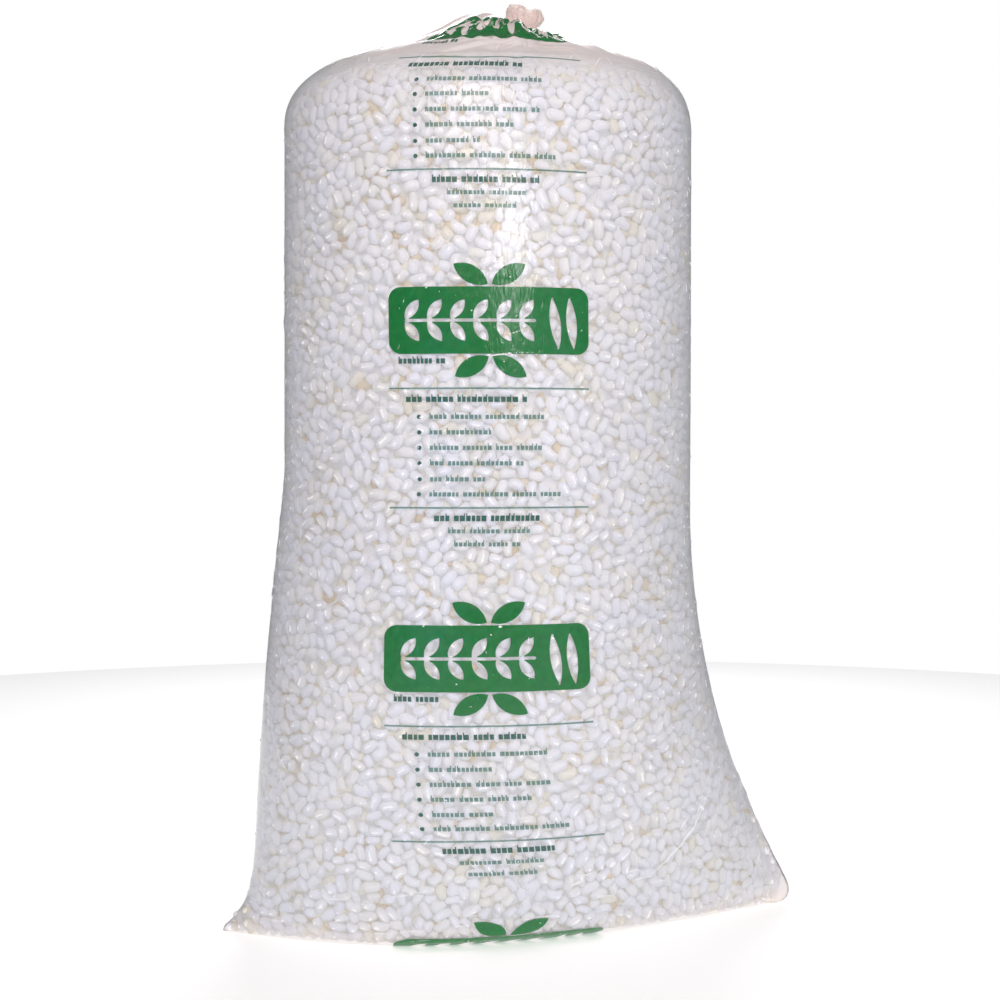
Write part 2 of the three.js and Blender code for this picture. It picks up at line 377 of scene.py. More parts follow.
# %% [markdown]
# Where they lie is worked out on the skin of the heap: the film's own form up to the shoulders,
# and above them a lower crown, because the bag isn't quite full. The skin is sampled evenly, and
# each place gets a random direction in the skin. Then neighbours that overlap are pushed apart
# and slid back onto the skin, over and over, as shaking settles a real bag. A pair's overlap is
# measured between the two short straight cores of their rounded cylinders.

# %% The skin that the outer layer lies under
HEAP_RISE = 0.130  # from the top of the walls to the top of the peanuts


def net_bmesh(net):
    """A net whose columns run round and whose rows run up, as a mesh with the same numbering."""
    bm = bmesh.new()
    bmesh.ops.create_grid(bm, x_segments=net.shape[1] - 1, y_segments=net.shape[0] - 1, size=1.0)
    bm.verts.ensure_lookup_table()
    places = net.reshape(-1, 3)
    for v in bm.verts:
        v.co = places[v.index]
    return bm


skin_rows = [even_columns(film_ring("wall", share)) for share in np.linspace(0, 1, 70) ** 1.2]
skin_rows += [even_columns(crown_ring(turn, HEAP_RISE, 0)) for turn in
              np.linspace(0, math.pi / 2 - 0.001, 26)[1:]]
skin_net = np.array([skin_rows[0] * (1, 0, 1), *skin_rows])[:, ::3]
skin_net[..., 0] += film_net[50, 0, 0] - even_columns(film_ring(*rows[50]))[0, 0]
fill_bm = net_bmesh(skin_net)
bmesh.ops.remove_doubles(fill_bm, verts=fill_bm.verts, dist=1e-5)
bmesh.ops.triangulate(fill_bm, faces=fill_bm.faces)
fill_bm.normal_update()
fill_skin = BVHTree.FromBMesh(fill_bm)
print("skin of the heap:", len(fill_bm.faces), "faces, top at", skin_net[..., 2].max())


def merged_copy(node):
    bm = bmesh.new()
    bm.from_mesh(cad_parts[node].data)
    bmesh.ops.remove_doubles(bm, verts=bm.verts, dist=1e-6)
    return bm


def spread_points(bm, spacing):
    """Points spread evenly over a skin, no two of them nearer than the spacing."""
    corners = np.array([[v.co for v in f.verts] for f in bm.faces])
    area = np.linalg.norm(np.cross(corners[:, 1] - corners[:, 0],
                                   corners[:, 2] - corners[:, 0]), axis=1) / 2
    tries = int(area.sum() / spacing ** 2 * 7)
    face = dice.choice(len(area), size=tries, p=area / area.sum())
    a, b = dice.random((2, tries))
    over = a + b > 1
    a[over], b[over] = 1 - a[over], 1 - b[over]
    c = corners[face]
    places = c[:, 0] + a[:, None] * (c[:, 1] - c[:, 0]) + b[:, None] * (c[:, 2] - c[:, 0])
    taken, kept = {}, []
    for i, p in enumerate(places):
        cell = tuple(np.floor(p / spacing).astype(int))
        near = (taken.get((cell[0] + x, cell[1] + y, cell[2] + z), ())
                for x in (-1, 0, 1) for y in (-1, 0, 1) for z in (-1, 0, 1))
        if all((p - q) @ (p - q) >= spacing ** 2 for group in near for q in group):
            taken.setdefault(cell, []).append(p)
            kept.append(i)
    return places[kept]


def closest_on_cores(p, d, q, e):
    """The closest points of two short segments, each given by its middle and its half vector."""
    r = p - q
    dd, ee, de = (d * d).sum(1), (e * e).sum(1), (d * e).sum(1)
    dr, er = (d * r).sum(1), (e * r).sum(1)
    bottom = np.maximum(dd * ee - de * de, 1e-12)
    s = np.clip((de * er - ee * dr) / bottom, -1, 1)
    t = np.clip((de * s + er) / np.maximum(ee, 1e-12), -1, 1)
    s = np.clip((de * t - dr) / np.maximum(dd, 1e-12), -1, 1)
    return s, t


def neighbours(places, reach):
    tree = KDTree(len(places))
    for i, p in enumerate(places):
        tree.insert(p, i)
    tree.balance()
    pairs = [(i, j) for i, p in enumerate(places) for _, j, _ in tree.find_range(p, reach) if j > i]
    return np.array(pairs)


def settle(places, half_core, radius, skin, depth, rounds):
    """Pushes rounded cylinders apart and back under the skin. Returns middles, normals, cores."""
    count = len(places)
    core = dice.normal(size=(count, 3))
    for turn in range(rounds):
        if turn % 8 == 0:
            pairs = neighbours(places, 2 * (half_core.max() + radius.max()) * 0.9)
        hits = [skin.find_nearest(p) for p in places]
        normal = np.array([h[1] for h in hits])
        places = np.array([h[0] for h in hits]) - normal * depth[:, None]
        core -= (core * normal).sum(1, keepdims=True) * normal * 0.85
        core *= (half_core / np.maximum(np.linalg.norm(core, axis=1), 1e-9))[:, None]
        i, j = pairs.T
        s, t = closest_on_cores(places[i], core[i], places[j], core[j])
        apart = places[i] + core[i] * s[:, None] - places[j] - core[j] * t[:, None]
        gap = np.maximum(np.linalg.norm(apart, axis=1), 1e-6)
        push = np.maximum(0, radius[i] + radius[j] - gap) * 0.42
        force = apart / gap[:, None] * push[:, None]
        move, twist = np.zeros_like(places), np.zeros_like(core)
        np.add.at(move, i, force)
        np.add.at(move, j, -force)
        np.add.at(twist, i, force * s[:, None])
        np.add.at(twist, j, -force * t[:, None])
        places = places + move * 0.55
        core = core + twist * 0.9
    return places, normal, core, np.median(push)


# %% Settling the outer layer
OUTER_SPACING, OUTER_ROUNDS = 0.0172, 34
outer = spread_points(fill_bm, OUTER_SPACING)
outer_radius = PEANUT_RADIUS * dice.uniform(0.80, 1.16, len(outer))
outer_half_core = PEANUT_RADIUS * dice.uniform(0.20, 0.95, len(outer))
outer_depth = outer_radius + dice.uniform(0.0002, 0.0020, len(outer))
outer, outer_normal, outer_core, left_over = settle(
    outer, outer_half_core, outer_radius, fill_skin, outer_depth, OUTER_ROUNDS)
print("outer layer:", len(outer), "peanuts, usual overlap left", round(left_over * 2000, 3), "mm")

# %% [markdown]
# The second layer only shows as hints in the gaps, so it is scattered without settling. Where the
# bag is too thin for a peanut, as in its pinched corners, only broken bits have worked their way
# in. So a line inwards from each place measures how far off the far wall is. A peanut that is
# thicker than that is made smaller, and left out where even a crumb would not fit.

# %% The second layer and what fits
INNER_SPACING, INNER_DEPTH = 0.0185, 0.0190
inner = spread_points(fill_bm, INNER_SPACING)
inner_radius = PEANUT_RADIUS * dice.uniform(0.9, 1.15, len(inner))
inner_half_core = PEANUT_RADIUS * dice.uniform(0.3, 0.9, len(inner))
hits = [fill_skin.find_nearest(p) for p in inner]
inner_normal = np.array([h[1] for h in hits])
inner_depth = INNER_DEPTH + dice.uniform(-0.003, 0.003, len(inner))
inner = np.array([h[0] for h in hits]) - inner_normal * inner_depth[:, None]
inner_core = dice.normal(size=inner.shape)
inner_core -= (inner_core * inner_normal).sum(1, keepdims=True) * inner_normal * 0.6
inner_core *= (inner_half_core / np.linalg.norm(inner_core, axis=1))[:, None]


def made_to_fit(places, normals, depth, radius, crumb):
    """Peanuts shrunk to the room between the walls: places, radii, and which are worth keeping."""
    skin_places = places + normals * depth[:, None]
    room = []
    for p, n in zip(skin_places, normals):
        far = fill_skin.ray_cast(Vector(p) - Vector(n) * 0.0004, -Vector(n))
        room.append(far[3] if far[0] is not None else 0.0)
    layer = depth - radius
    fitted = np.minimum(radius, (np.array(room) - np.maximum(layer, 0)) / 2)
    return skin_places - normals * (layer + fitted)[:, None], fitted, fitted > crumb


outer, fitted, outer_fits = made_to_fit(outer, outer_normal, outer_depth, outer_radius, 0.0030)
outer_half_core *= np.maximum(fitted / outer_radius, 0.5)
outer_radius = fitted
inner, inner_radius, inner_fits = made_to_fit(inner, inner_normal, inner_depth, inner_radius, 0.0060)
for places, radius, core in ((outer, outer_radius, outer_core), (inner, inner_radius, inner_core)):
    places[:, 2] = np.maximum(places[:, 2], 1.1 * radius + np.abs(core[:, 2]))  # none in the floor
print("outer kept", outer_fits.sum(), "inner kept", inner_fits.sum())

# %% [markdown]
# Each copy is turned so that its long side follows its core, bent a little to one side, and
# pressed slightly flatter towards the film, as they are in a full bag. A number from 0 to 1 goes
# with every copy, so that the material can give each peanut its own slight tint.

# %% Laying the peanuts down
def lay_peanuts(name, templates, places, normals, cores, radius, half_core, shades):
    points, face_sizes, face_corners, tints, at = [], [], [], [], 0
    kinds = dice.integers(0, PEANUT_KINDS, len(places))
    bends = dice.uniform(-0.34, 0.34, len(places))
    for i, kind in enumerate(kinds):
        template, faces = templates[kind]
        along = cores[i] / np.linalg.norm(cores[i])
        out = normals[i] - along * (normals[i] @ along)
        out /= np.linalg.norm(out)
        aside = np.cross(out, along)
        stretch = half_core[i] + radius[i]
        x = template[:, 0] * stretch
        y = template[:, 1] * radius[i] + bends[i] * radius[i] * (template[:, 0] ** 2 - 0.4)
        z = template[:, 2] * radius[i] * 0.94
        points.append(places[i] + x[:, None] * along + y[:, None] * aside + z[:, None] * out)
        face_sizes += [len(f) for f in faces]
        face_corners += [c + at for f in faces for c in f]
        tints.append(np.full(len(template), dice.uniform(*shades)))
        at += len(template)
    mesh = bpy.data.meshes.new(name)
    mesh.vertices.add(at)
    mesh.vertices.foreach_set("co", np.concatenate(points).astype(np.float32).ravel())
    mesh.loops.add(len(face_corners))
    mesh.loops.foreach_set("vertex_index", np.array(face_corners, np.int32))
    mesh.polygons.add(len(face_sizes))
    starts = np.concatenate([[0], np.cumsum(face_sizes)[:-1]]).astype(np.int32)
    mesh.polygons.foreach_set("loop_start", starts)
    mesh.polygons.foreach_set("use_smooth", np.ones(len(face_sizes), bool))
    tint = mesh.attributes.new("tint", "FLOAT", "POINT")
    tint.data.foreach_set("value", np.concatenate(tints).astype(np.float32))
    mesh.update(calc_edges=True)
    mesh.validate()
    piece = bpy.data.objects.new(name, mesh)
    bpy.context.scene.collection.objects.link(piece)
    return piece

# %% [markdown]
# The foam is starch, puffed by steam: dull, very white, with a skin of burst cells under a
# millimetre wide. So it reflects nearly all light and has no shine. Most are a cool or a creamy
# white, and a few came out of the cooker yellow. Those underneath, seen only in the gaps, run on
# into a tan of painted shade, so that some gaps are warm and not grey. In a heap of anything so
# white, light goes on from piece to piece dozens of times, far more often than a renderer follows
# it. What is lost in that way is painted back as a faint even glow of the foam: no gap goes black.

# %% The foam
FOAM_WHITE, FOAM_COOL, FOAM_CREAM, FOAM_YELLOW = "#FCFBFB", "#F9F9FD", "#FBF9F4", "#F7F1DE"
# The tan below is painted shade for the gaps: only the peanuts underneath reach it.
FOAM_GAP_SHADE_TAN = "#E2C48C"
CELL_SIZE = 0.0022  # the cells are under 1 mm; drawn this coarse so that they show at all
# Painted light: the foam glows faintly, in place of light that bounces on round the heap.
PAINTED_BOUNCE_GLOW = 0.085

foam, tree = new_material("puffed starch foam")
foam.cycles.emission_sampling = "NONE"
tint = add_node(tree, "ShaderNodeAttribute", {"attribute_name": "tint"})
shades = add_node(tree, "ShaderNodeValToRGB", Fac=tint.outputs["Fac"])
ramp = shades.color_ramp
# The scale ends in the tan of painted shade, which only the peanuts underneath reach.
ramp.elements[0].color, ramp.elements[1].color = linear(FOAM_WHITE), linear(FOAM_GAP_SHADE_TAN)
ramp.elements.new(0.15).color = linear(FOAM_COOL)
ramp.elements.new(0.30).color = linear(FOAM_WHITE)
ramp.elements.new(0.48).color = linear(FOAM_CREAM)
ramp.elements.new(0.50).color = linear(FOAM_YELLOW)
ramp.elements.new(0.72).color = linear(FOAM_YELLOW)
where = add_node(tree, "ShaderNodeTexCoord")
cells = add_node(tree, "ShaderNodeTexNoise", Vector=where.outputs["Object"],
                 Scale=1 / CELL_SIZE, Detail=1.0)
relief = add_node(tree, "ShaderNodeBump", Strength=0.35, Distance=0.0006,
                  Height=cells.outputs[0])
foam_shader = add_node(tree, "ShaderNodeBsdfPrincipled", Base_Color=shades.outputs[0],
                       Roughness=0.85, Normal=relief.outputs[0],
                       Emission_Color=linear("#F6F5F7"), Emission_Strength=PAINTED_BOUNCE_GLOW)
finish_material(tree, foam_shader.outputs[0])

# %% The peanut pieces
# The peanuts underneath take the upper part of the scale, which runs into the tan of painted shade.
OUTER_SHADES, INNER_SHADES_INTO_GAP_SHADE = (0.0, 0.5), (0.2, 0.95)  # places on the foam's scale of shades
groups = []
outer_side = np.where(outer[:, 2] > 0.72, "high", "low")
for side in ("high", "low"):
    for face, chosen in (("front", outer[:, 1] < 0), ("back", outer[:, 1] >= 0)):
        pick = outer_fits & chosen & (outer_side == side)
        groups.append(lay_peanuts(f"peanuts_{side}_{face}", outer_kinds, outer[pick],
                                  outer_normal[pick], outer_core[pick], outer_radius[pick],
                                  outer_half_core[pick], OUTER_SHADES))
inner_front = inner[:, 1] < 0
for face, chosen in (("front", inner_front), ("back", ~inner_front)):
    pick = inner_fits & chosen
    groups.append(lay_peanuts(f"peanuts_under_{face}", inner_kinds, inner[pick],
                              inner_normal[pick], inner_core[pick], inner_radius[pick],
                              inner_half_core[pick], INNER_SHADES_INTO_GAP_SHADE))
for piece in groups:
    piece.data.materials.append(foam)
    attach(piece, "root")
    print(piece.name, sum(len(p.vertices) - 2 for p in piece.data.polygons), "triangles")
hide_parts("loose_fill")

# %% [markdown]
# Behind the two layers the bag is full of more of the same. One plain body stands for all of
# that: it is the fill's own skin, moved in by a little more than a peanut's thickness, so that
# no gap is dark.

# %% The heap behind them
HEAP_DEPTH = 0.021
HEAP_FROM_LEFT, HEAP_FROM_RIGHT = 0.09, 0.12  # kept out of the thin ears
heap_bm = fill_bm
bmesh.ops.recalc_face_normals(heap_bm, faces=heap_bm.faces)
heap_bm.normal_update()
for v in heap_bm.verts:
    room = min(1.0, abs(v.co.y) / HEAP_DEPTH)
    v.co -= v.normal * HEAP_DEPTH * room
    v.co.z = max(v.co.z, HEAP_DEPTH)
    v.co.x = min(max(v.co.x, fill_low.x + HEAP_FROM_LEFT), fill_high.x - HEAP_FROM_RIGHT)
heap_mesh = bpy.data.meshes.new("peanut_heap")
heap_bm.to_mesh(heap_mesh)
heap_bm.free()
heap = bpy.data.objects.new("peanut_heap", heap_mesh)
bpy.context.scene.collection.objects.link(heap)
heap_mesh.materials.append(foam)
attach(heap, "root")
print("heap:", len(heap_mesh.polygons), "triangles")

# %% [markdown]
# ## The film
# Blown polyethylene about a twentieth of a millimetre thick: clear, a trace milky, and glossy on
# both faces. It is pulled tight over the load, so it shows the peanuts as a soft relief. Each
# point of the net is lifted to the highest of the peanuts next to it, or sinks a little where it
# spans a gap, and the result is smoothed as far as the film's stiffness would.

# %% Film over peanuts
BRIDGE_SAG = 0.0016
DRAPE_SOFTENING = 1


def blurred(field, passes):
    """A field on the net, smoothed round the bag and up it, without changing its size."""
    for _ in range(passes):
        ring = field[:, :-1]
        ring = (np.roll(ring, 1, 1) + 2 * ring + np.roll(ring, -1, 1)) / 4
        field = np.concatenate([ring, ring[:, :1]], axis=1)
        padded = np.concatenate([field[:1], field, field[-1:]])
        field = (padded[:-2] + 2 * padded[1:-1] + padded[2:]) / 4
    return field


def drape(net, outward, places, cores, radius):
    """How far each point of the net lies out from the smooth form, over the peanuts under it."""
    tree = KDTree(len(places))
    for i, p in enumerate(places):
        tree.insert(p, i)
    tree.balance()
    flat = net.reshape(-1, 3)
    near = np.array([[hit[1] for hit in tree.find_n(p, 4)] for p in flat])
    lift = np.full(len(flat), -1.0)
    for k in range(near.shape[1]):
        i = near[:, k]
        away = flat - places[i]
        along = np.clip((away * cores[i]).sum(1) / np.maximum((cores[i] ** 2).sum(1), 1e-9), -1, 1)
        away -= cores[i] * along[:, None]
        height = (away * outward.reshape(-1, 3)).sum(1)
        aside = np.sqrt(np.maximum((away ** 2).sum(1) - height ** 2, 0))
        top = np.sqrt(np.maximum(radius[i] ** 2 - aside ** 2, 0)) - height
        lift = np.maximum(lift, np.where(aside < radius[i], top, -1.0))
    lift = np.maximum(lift, -BRIDGE_SAG).reshape(net.shape[:2])
    return blurred(lift, DRAPE_SOFTENING)


film_outward = net_normals(film_net)
kept = outer_fits
peanut_relief = drape(film_net, film_outward, outer[kept], outer_core[kept], outer_radius[kept])
fade_up = np.interp(film_up, [0, 0.02, 1.36, 1.44], [0, 1, 1, 0])
peanut_relief = np.clip(peanut_relief, -BRIDGE_SAG, 0.003) * fade_up[:, None]
print("relief from", peanut_relief.min(), "to", peanut_relief.max())

# %% [markdown]
# On top of that come the folds. A fold in thin film is a sharp low ridge along a nearly straight
# line, and it dies away at both ends. They come in families, each with its own cause. Tight lines
# run from the right-hand corner, where the base is pulled out sideways. Short level wrinkles lie
# above the floor, where the load settles. Slanting crinkles line both sides, where the flat tube
# was creased when it was wound up. And the shoulders and the neck are gathered into pleats.

# %% Families of folds
def fold_field(folds):
    """The sum of many ridges: each runs between two places on the film, with a slight bow."""
    u, v = np.meshgrid(film_across, film_up)
    field = np.zeros_like(u)
    for (u0, v0), (u1, v1), height, width, bow in folds:
        du, dv = u1 - u0, v1 - v0
        length = math.hypot(du, dv)
        reach = length + 5 * width + abs(bow)
        from_start = (u - u0 + FLAT_WIDTH) % (2 * FLAT_WIDTH) - FLAT_WIDTH
        here = (np.abs(from_start) < reach) & (np.abs(v - v0) < reach)
        pu, pv = from_start[here], v[here] - v0
        share = np.clip((pu * du + pv * dv) / length ** 2, 0, 1)
        side = (pu * dv - pv * du) / length - bow * np.sin(np.pi * share)
        past = np.abs((pu * du + pv * dv) / length - np.clip(share, 0, 1) * length)
        field[here] += (height * np.sin(np.pi * share) ** 0.7
                        * np.exp(-np.hypot(side, past) / width))
    return field


def random_folds(count, u_range, v_range, length, slope, height, width, bow):
    """Folds with their middles spread over a part of the film. Slope is an angle in degrees."""
    made = []
    for _ in range(count):
        u, v = dice.uniform(*u_range), dice.uniform(*v_range)
        half = dice.uniform(*length) / 2
        angle = math.radians(dice.uniform(*slope))
        du, dv = half * math.cos(angle), half * math.sin(angle)
        sign = 1 if dice.random() < 0.75 else -1
        made.append(((u - du, v - dv), (u + du, v + dv), sign * dice.uniform(*height),
                     dice.uniform(*width), dice.uniform(-bow, bow) * half))
    return made


folds = []
RIGHT_EAR = 0.49  # across the film from the middle of its front
for step in range(9):  # tight lines from the right-hand corner
    start = (RIGHT_EAR - dice.uniform(0.02, 0.07), dice.uniform(0.02, 0.10))
    angle = math.radians(78 + step * 11 + dice.uniform(-4, 4))
    run = dice.uniform(0.12, 0.42)
    folds.append((start, (start[0] + run * math.cos(angle), start[1] + run * math.sin(angle)),
                  dice.uniform(0.0015, 0.0035), dice.uniform(0.004, 0.007), dice.uniform(-.01, .01)))
folds += [((0.10, 0.10), (0.37, 0.235), 0.0045, 0.0050, 0.008),
          ((0.22, 0.08), (0.44, 0.215), 0.0030, 0.0045, 0.006),
          ((0.26, 0.16), (0.42, 0.275), 0.0025, 0.0040, -0.005)]
WRINKLES = (  # how many, across, up, length, slope in degrees, height, width, bow
    (34, (-0.42, 0.44), (0.02, 0.17), (0.05, 0.20), (-7, 9), (0.0008, 0.0022), (0.003, 0.006), 0.2),
    (20, (0.5, 1.45), (0.02, 0.17), (0.05, 0.20), (-7, 7), (0.0008, 0.0022), (0.003, 0.006), 0.2),
    (46, (0.30, 0.60), (0.20, 0.85), (0.04, 0.12), (20, 60), (0.0008, 0.0020), (0.003, 0.005), 0.2),
    (34, (-0.49, -0.34), (0.10, 1.25), (0.04, 0.12), (-70, -25), (0.0008, 0.0020), (0.003, 0.005),
     0.2),
    (34, (1.30, 1.46), (0.10, 1.25), (0.04, 0.12), (25, 70), (0.0008, 0.0020), (0.003, 0.005), 0.2),
    (80, (-0.45, 1.45), (0.15, 1.38), (0.03, 0.11), (-90, 90), (0.0005, 0.0015), (0.003, 0.005),
     0.35),
    (26, (-0.45, 1.45), (1.38, 1.50), (0.04, 0.12), (60, 120), (0.0008, 0.0018), (0.003, 0.006),
     0.2))
for family in WRINKLES:
    folds += random_folds(*family)
folds += [((-0.20, 1.452), (-0.02, 1.462), -0.0060, 0.0040, 0.002),
          ((-0.03, 1.462), (0.05, 1.430), -0.0060, 0.0040, -0.004),
          ((0.04, 1.430), (0.14, 1.450), -0.0050, 0.0040, 0.004)]
fold_relief = fold_field(folds)
print(len(folds), "folds, up to", round(float(np.abs(fold_relief).max()) * 1000, 1), "mm")

# %% [markdown]
# The pleats of the gather are strongest next to the neck, where a metre of film has to pass
# through a ring two centimetres across, and die out on the shoulders. In front of the neck some
# slack film stands up in a crumpled hump. Above the tie the end of the tube opens out again, into
# a small knot of creased film with two lobes and an uneven rim.

# %% The gather, the hump and the tuft
PLEATS = ((19, 0.0014), (31, 0.0012), (47, 0.0008))
HUMP_U, HUMP_V, HUMP_HALF_WIDTH, HUMP_HALF_HEIGHT = (-0.06, 1.565, 0.13, 0.050)
TUFT_LOBE = 0.22
TUFT_DROP, TUFT_LEAN, TUFT_CLEFT = 0.017, 0.008, 0.012  # its rim sinks, more to the right
TUFT_CLEFT_AT, TUFT_CLEFT_WIDE = 0.004, 0.007
TUFT_KNOBS = ((0.019, 0.0055, 9.7), (0.009, 0.0028, 5.3))  # size, depth and a seed


def crumple(points, size, seed):
    """A field of sharp-edged dents: folded noise, as crushed film shows."""
    spread = Vector((seed, seed * 0.37, -seed))
    values = np.array([noise.noise(Vector(p) / size + spread) for p in points])
    return 1 - 2 * np.abs(values)


turn_of = (film_across / FLAT_WIDTH + 0.5) * math.pi
pleats = sum(size * np.cos(count * turn_of + dice.uniform(0, 6.28)) for count, size in PLEATS)
crown_share = np.where(stage_of == "crown", share_of, np.where(
    np.isin(stage_of, ("neck", "tuft")), 1.0, 0.0))
pleat_size = np.clip(crown_share - 0.30, 0, 1) ** 1.5 * 2.6
pleat_size = np.where(stage_of == "neck", np.interp(share_of, [0, 0.5, 1], [1.4, 0.22, 0.22]),
                      pleat_size)
pleat_size = np.where(stage_of == "tuft", np.interp(share_of, [0, 0.4, 1], [0.22, 1.2, 1.5]),
                      pleat_size)
gather_relief = pleat_size[:, None] * pleats[None, :]

u, v = np.meshgrid(film_across, film_up)
hump = np.exp(-((u - HUMP_U) / HUMP_HALF_WIDTH) ** 2 - ((v - HUMP_V) / HUMP_HALF_HEIGHT) ** 2)
spots = np.stack([u.ravel() * 0.6, v.ravel(), 0 * v.ravel()], 1)
crushed = (crumple(spots, 0.034, 3.1) + 0.45 * crumple(spots, 0.016, 6.3)).reshape(u.shape)
hump_relief = hump * (0.020 * crushed - 0.006) * np.isin(stage_of, ("wall", "crown"))[:, None]

final_net = film_net + film_outward * (
    peanut_relief + fold_relief + gather_relief + hump_relief)[..., None]
in_tuft = stage_of == "tuft"
tuft_share = share_of[in_tuft][:, None]
axis = film_net[-1, :-1, :2].mean(axis=0)
tuft = final_net[in_tuft]
lobes = 0.94 + TUFT_LOBE * np.cos(2 * turn_of)[None, :] * np.sqrt(tuft_share)
bulb = np.interp(tuft_share, [0, 0.25, 0.55, 0.8, 1], [1, 1.10, 0.98, 0.74, 0.58])
tuft[..., :2] = axis + (tuft[..., :2] - axis) * (lobes * bulb)[..., None]
for size, deep, seed in TUFT_KNOBS:
    knobs = crumple(tuft.reshape(-1, 3), size, seed).reshape(tuft.shape[:2])
    tuft += net_normals(tuft) * (knobs * deep * np.sqrt(tuft_share))[..., None]
aside = tuft[..., 0] - axis[0]
cleft = np.exp(-((aside - TUFT_CLEFT_AT) / TUFT_CLEFT_WIDE) ** 2)
tuft[..., 2] -= tuft_share * (TUFT_DROP + TUFT_LEAN * np.clip(aside / 0.02, 0, 1)
                              + TUFT_CLEFT * cleft)
tuft[:, -1] = tuft[:, 0]
tuft[..., 2] = np.minimum(tuft[..., 2], film_high.z)
final_net[in_tuft] = tuft
final_net[:, -1] = final_net[:, 0]
final_net[..., 2] = np.maximum(final_net[..., 2], 0.0)
final_net[stage_of == "base"] = film_net[stage_of == "base"]

# %% [markdown]
# The sheet itself is a grid with one point for each crossing of the net. It keeps the distances
# along the film as its own coordinates, so that creases and print can be placed on it in metres.
# The two edges of the grid meet at the left-hand side and are merged there, and the two lips of
# the bottom weld are merged along the floor. It stays open at the top of the tuft. One more
# number goes with each point: how gathered the film is there, from 0 for one layer to 1 for
# many. It rises from the shoulders to the tie, and is a half in the flat right-hand ear.

# %% The film's net as a mesh
def film_mesh(name, net, gathered):
    bm = net_bmesh(net)
    layer = bm.loops.layers.uv.new("along_film")
    thickness = bm.verts.layers.float.new("gathered")
    for face in bm.faces:
        for loop in face.loops:
            row, column = divmod(loop.vert.index, net.shape[1])
            loop[layer].uv = (film_across[column], film_up[row])
        face.smooth = True
    for v in bm.verts:
        v[thickness] = gathered.flat[v.index]
    bmesh.ops.remove_doubles(bm, verts=bm.verts, dist=1e-6)
    mesh = bpy.data.meshes.new(name)
    bm.to_mesh(mesh)
    bm.free()
    return mesh


gathered = np.interp(film_up, [1.42, 1.46, 1.475, 1.62], [0.0, 0.15, 0.60, 1.0])[:, None]
EAR_WIDE, EAR_TALL, EAR_GATHERED = 0.075, 0.3, 0.5
climb = 0.06 * np.clip(film_up / 0.5, 0, 1)[:, None]  # the ear gets narrower on its way up
from_seam = np.abs(film_across - FLAT_WIDTH / 2) + climb
flattened = np.clip(1 - from_seam / EAR_WIDE, 0, 1) * np.clip(2 - film_up / EAR_TALL, 0, 1)[:, None]
gathered = np.maximum(gathered, EAR_GATHERED * flattened)
film_data = film_mesh("bag", final_net, gathered)
film = bpy.data.objects.new("bag", film_data)
bpy.context.scene.collection.objects.link(film)
cad_film = BVHTree.FromBMesh(merged_copy("bag_film"))
gaps = [cad_film.find_nearest(Vector(place))[3] for place in final_net.reshape(-1, 3)[::37]]
print("film:", len(film_data.vertices), "points,", len(film_data.polygons), "faces; from the solid",
      round(max(gaps) * 1000, 1), "mm at most,", round(float(np.median(gaps)) * 1000, 2), "usually")

# %% [markdown]
# Clear film is told from nothing at all by its shine. It mirrors a little of the room, and more
# the flatter one looks along it, by the ordinary law for plastic. The rest passes straight
# through, but for a quarter that the film's faint milkiness scatters, part of it back and part
# of it onwards. Where the film is gathered, many layers lie on each other and most of the light
# is scattered. Hair-fine creases break the mirror image into short glints. They are far too thin
# to model, so they are relief. Just above the floor the film's milky colour turns a warm cream. The
# shadow that it casts is a plain tint, deeper where light meets it at a slant. That is quicker
# to work out and lets more light in than the film itself does, so the lamps are set for it.

# %% The film's material
CREASE_SPACING = 0.016
CREASE_RELIEF = 0.0009


def crinkle(tree):
    """Relief of fine creases: straight-edged patches, and slanting streaks across them."""
    along = add_node(tree, "ShaderNodeUVMap", {"uv_map": "along_film"})
    wander = add_node(tree, "ShaderNodeTexNoise", {"noise_dimensions": "2D"},
                      Vector=along.outputs[0], Scale=55.0, Detail=1.0)
    moved = add_node(tree, "ShaderNodeMixRGB", Fac=0.012, Color1=along.outputs[0],
                     Color2=wander.outputs[1])
    stretched = add_node(tree, "ShaderNodeMapping", Vector=moved.outputs[0],
                         Scale=(1.0, 0.55, 1.0), Rotation=(0, 0, 0.5))
    patches = add_node(tree, "ShaderNodeTexVoronoi",
                       {"feature": "DISTANCE_TO_EDGE", "voronoi_dimensions": "2D"},
                       Vector=stretched.outputs[0], Scale=1 / CREASE_SPACING)
    slanting = add_node(tree, "ShaderNodeMapping", Vector=moved.outputs[0],
                        Scale=(260.0, 34.0, 1.0), Rotation=(0, 0, 0.75))
    streaks = add_node(tree, "ShaderNodeTexNoise", {"noise_dimensions": "2D"},
                       Vector=slanting.outputs[0], Scale=1.0, Detail=1.0)
    both_kinds = add_node(tree, "ShaderNodeMixRGB", Fac=0.5, Color1=patches.outputs[0],
                          Color2=streaks.outputs[0])
    bump = add_node(tree, "ShaderNodeBump", Strength=0.8, Distance=CREASE_RELIEF,
                    Height=both_kinds.outputs[0])
    return bump.outputs[0]


MILK_SINGLE, MILK_GATHERED = 0.25, 0.58
MILK_ONWARDS = 0.4  # the part of the scattered light that goes on through the film
ROUGHNESS_SINGLE, ROUGHNESS_GATHERED = 0.20, 0.34
GATHER_GLOW = 0.20  # light that goes round among many layers, which the renderer stops following
# Up to this height above the floor, the film's milky colour turns a warm cream.
WARM_BAND_TOP, WARM_BAND_MOST = 0.05, 0.75

